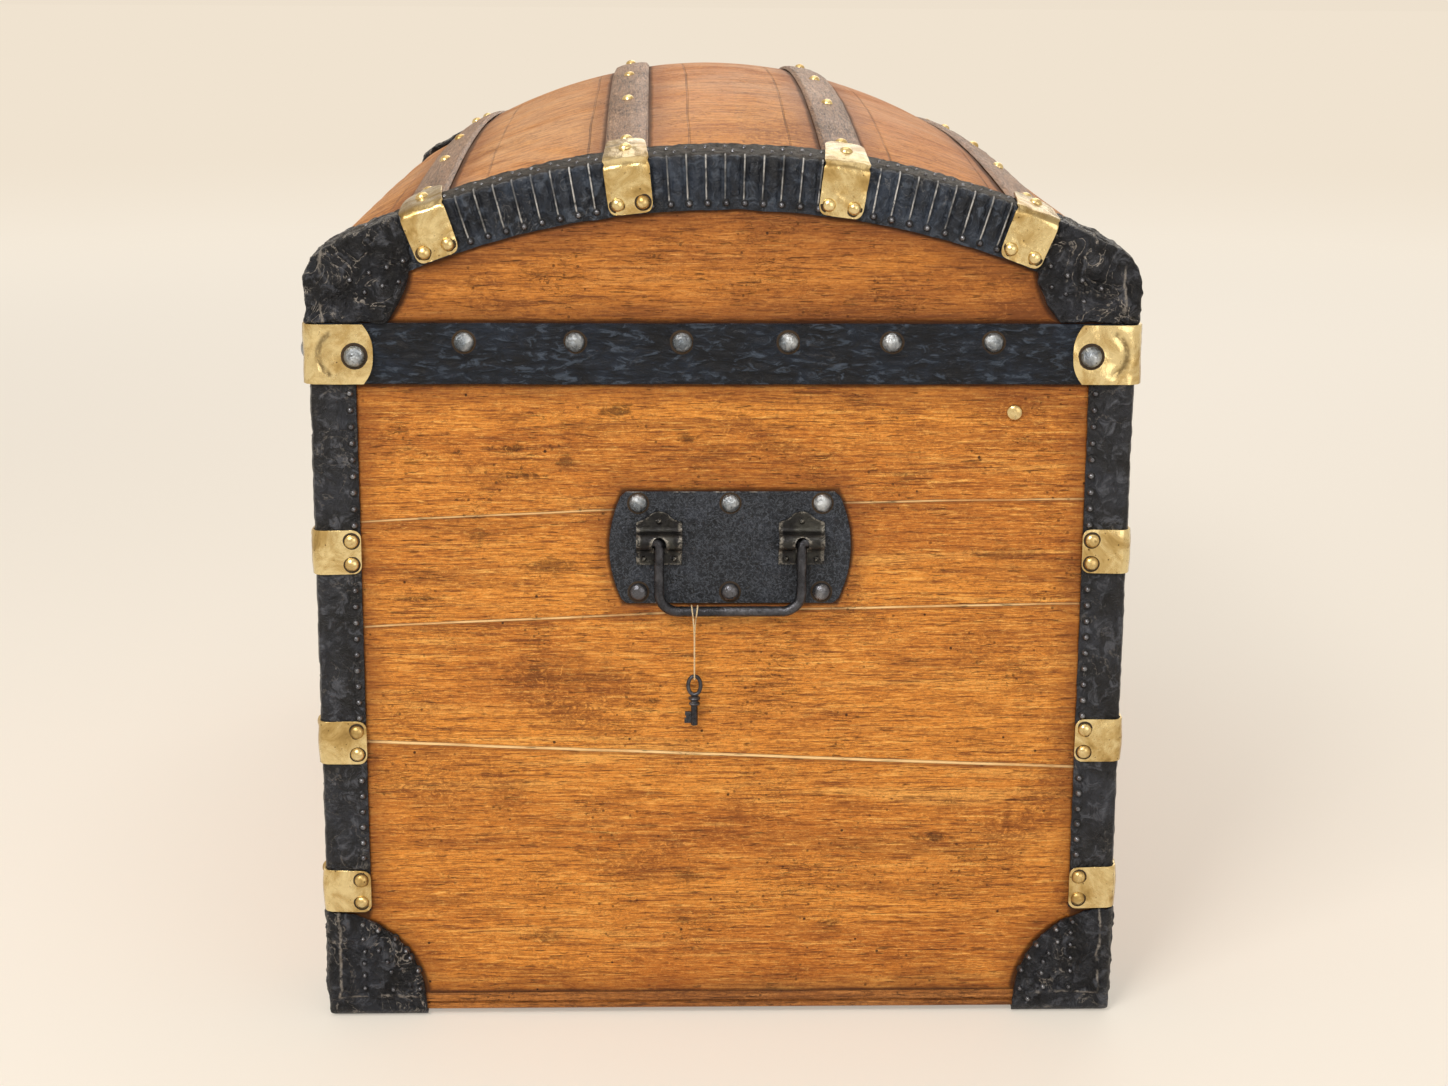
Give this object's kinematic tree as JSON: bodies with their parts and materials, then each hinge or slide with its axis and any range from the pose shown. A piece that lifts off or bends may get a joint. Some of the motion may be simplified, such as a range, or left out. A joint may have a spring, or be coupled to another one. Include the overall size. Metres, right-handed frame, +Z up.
{
  "type": "dome top trunk",
  "caption": "Wooden trunk with an arched dome lid on rear hinges, bound in leather and brass, with iron bail handles, a hasp lock and a lid stay.",
  "frame": {"origin": "bottom centre of the box round the trunk, on the floor", "axes": "+Z up; X along the trunk, +X the end with the key on its handle; front with the lock at -Y, hinges at +Y"},
  "size_m": [0.862, 0.5368, 0.604],
  "materials": {
    "wood": "old orange-brown varnish",
    "batten_wood": "worn dark paint",
    "leather": "black, scuffed",
    "iron": "black, worn",
    "brass": "tarnished",
    "thread": "matte"
  },
  "bodies": {
    "trunk_body": {"bottom_board": "wood", "front_board": "wood", "back_board": "wood", "end_board_right": "wood", "end_board_left": "wood", "bottom_cap_right_front": "leather", "bottom_cap_right_back": "leather", "bottom_cap_left_front": "leather", "bottom_cap_left_back": "leather", "corner_strip_right_front": "leather", "corner_strip_right_back": "leather", "corner_strip_left_front": "leather", "corner_strip_left_back": "leather", "handle_plate_right": "iron", "handle_plate_left": "iron", "handle_bracket_right_front": "iron", "handle_bracket_right_back": "iron", "handle_bracket_left_front": "iron", "handle_bracket_left_back": "iron", "hinge_body_leaf_right": "brass", "hinge_body_leaf_left": "brass", "hinge_pin_right": "brass", "hinge_pin_left": "brass", "lock_case": "iron", "stay_stud": "brass"},
    "lid": {"lid_shell": "wood", "lid_end_right": "wood", "lid_end_left": "wood", "lid_batten_1": "batten_wood", "lid_batten_2": "batten_wood", "lid_batten_3": "batten_wood", "lid_batten_4": "batten_wood", "batten_clamp_right_1": "brass", "batten_clamp_right_2": "brass", "batten_clamp_right_3": "brass", "batten_clamp_right_4": "brass", "batten_clamp_left_1": "brass", "batten_clamp_left_2": "brass", "batten_clamp_left_3": "brass", "batten_clamp_left_4": "brass", "top_cap_right_front": "leather", "top_cap_right_back": "leather", "top_cap_left_front": "leather", "top_cap_left_back": "leather", "lid_band": "leather", "band_clasp_right_front": "brass", "band_clasp_right_back": "brass", "band_clasp_left_front": "brass", "band_clasp_left_back": "brass", "dome_trim_right": "leather", "dome_trim_left": "leather", "hinge_lid_leaf_right": "brass", "hinge_lid_leaf_left": "brass", "hasp_hinge_plate": "iron"},
    "bail_right": {"handle_bail_right": "iron"},
    "bail_left": {"handle_bail_left": "iron"},
    "hasp": {"hasp": "iron"},
    "lid_stay": {"lid_stay": "brass"},
    "key": {"handle_key": "iron", "key_thread": "thread"}
  },
  "joints": [
    {"name": "lid_hinge", "type": "hinge", "parent": "trunk_body", "child": "lid", "pos_m": [0, 0.2646, 0.4252], "axis": [-1, 0, 0], "range_deg": [0, 100]},
    {"name": "bail_right_swing", "type": "hinge", "parent": "trunk_body", "child": "bail_right", "pos_m": [0.4255, 0.0045, 0.325], "axis": [0, -1, 0], "range_deg": [0, 90]},
    {"name": "bail_left_swing", "type": "hinge", "parent": "trunk_body", "child": "bail_left", "pos_m": [-0.4255, 0.0045, 0.325], "axis": [0, 1, 0], "range_deg": [0, 90]},
    {"name": "key_swing", "type": "hinge", "parent": "bail_right", "child": "key", "pos_m": [0.4255, -0.0182, 0.2792], "axis": [0, -1, 0], "range_deg": [-90, 0]},
    {"name": "hasp_swing", "type": "hinge", "parent": "lid", "child": "hasp", "pos_m": [0, -0.265, 0.4439], "axis": [-1, 0, 0], "range_deg": [0, 110]},
    {"name": "stay_swing", "type": "hinge", "parent": "lid", "child": "lid_stay", "pos_m": [0.404, 0.06, 0.47], "axis": [1, 0, 0], "range_deg": [0, 63.4]}
  ],
  "couplings": [
    {"joint": "key_swing", "follows": "bail_right_swing", "ratio": -1},
    {"joint": "stay_swing", "follows": "lid_hinge", "ratio": 0.62861}
  ]
}
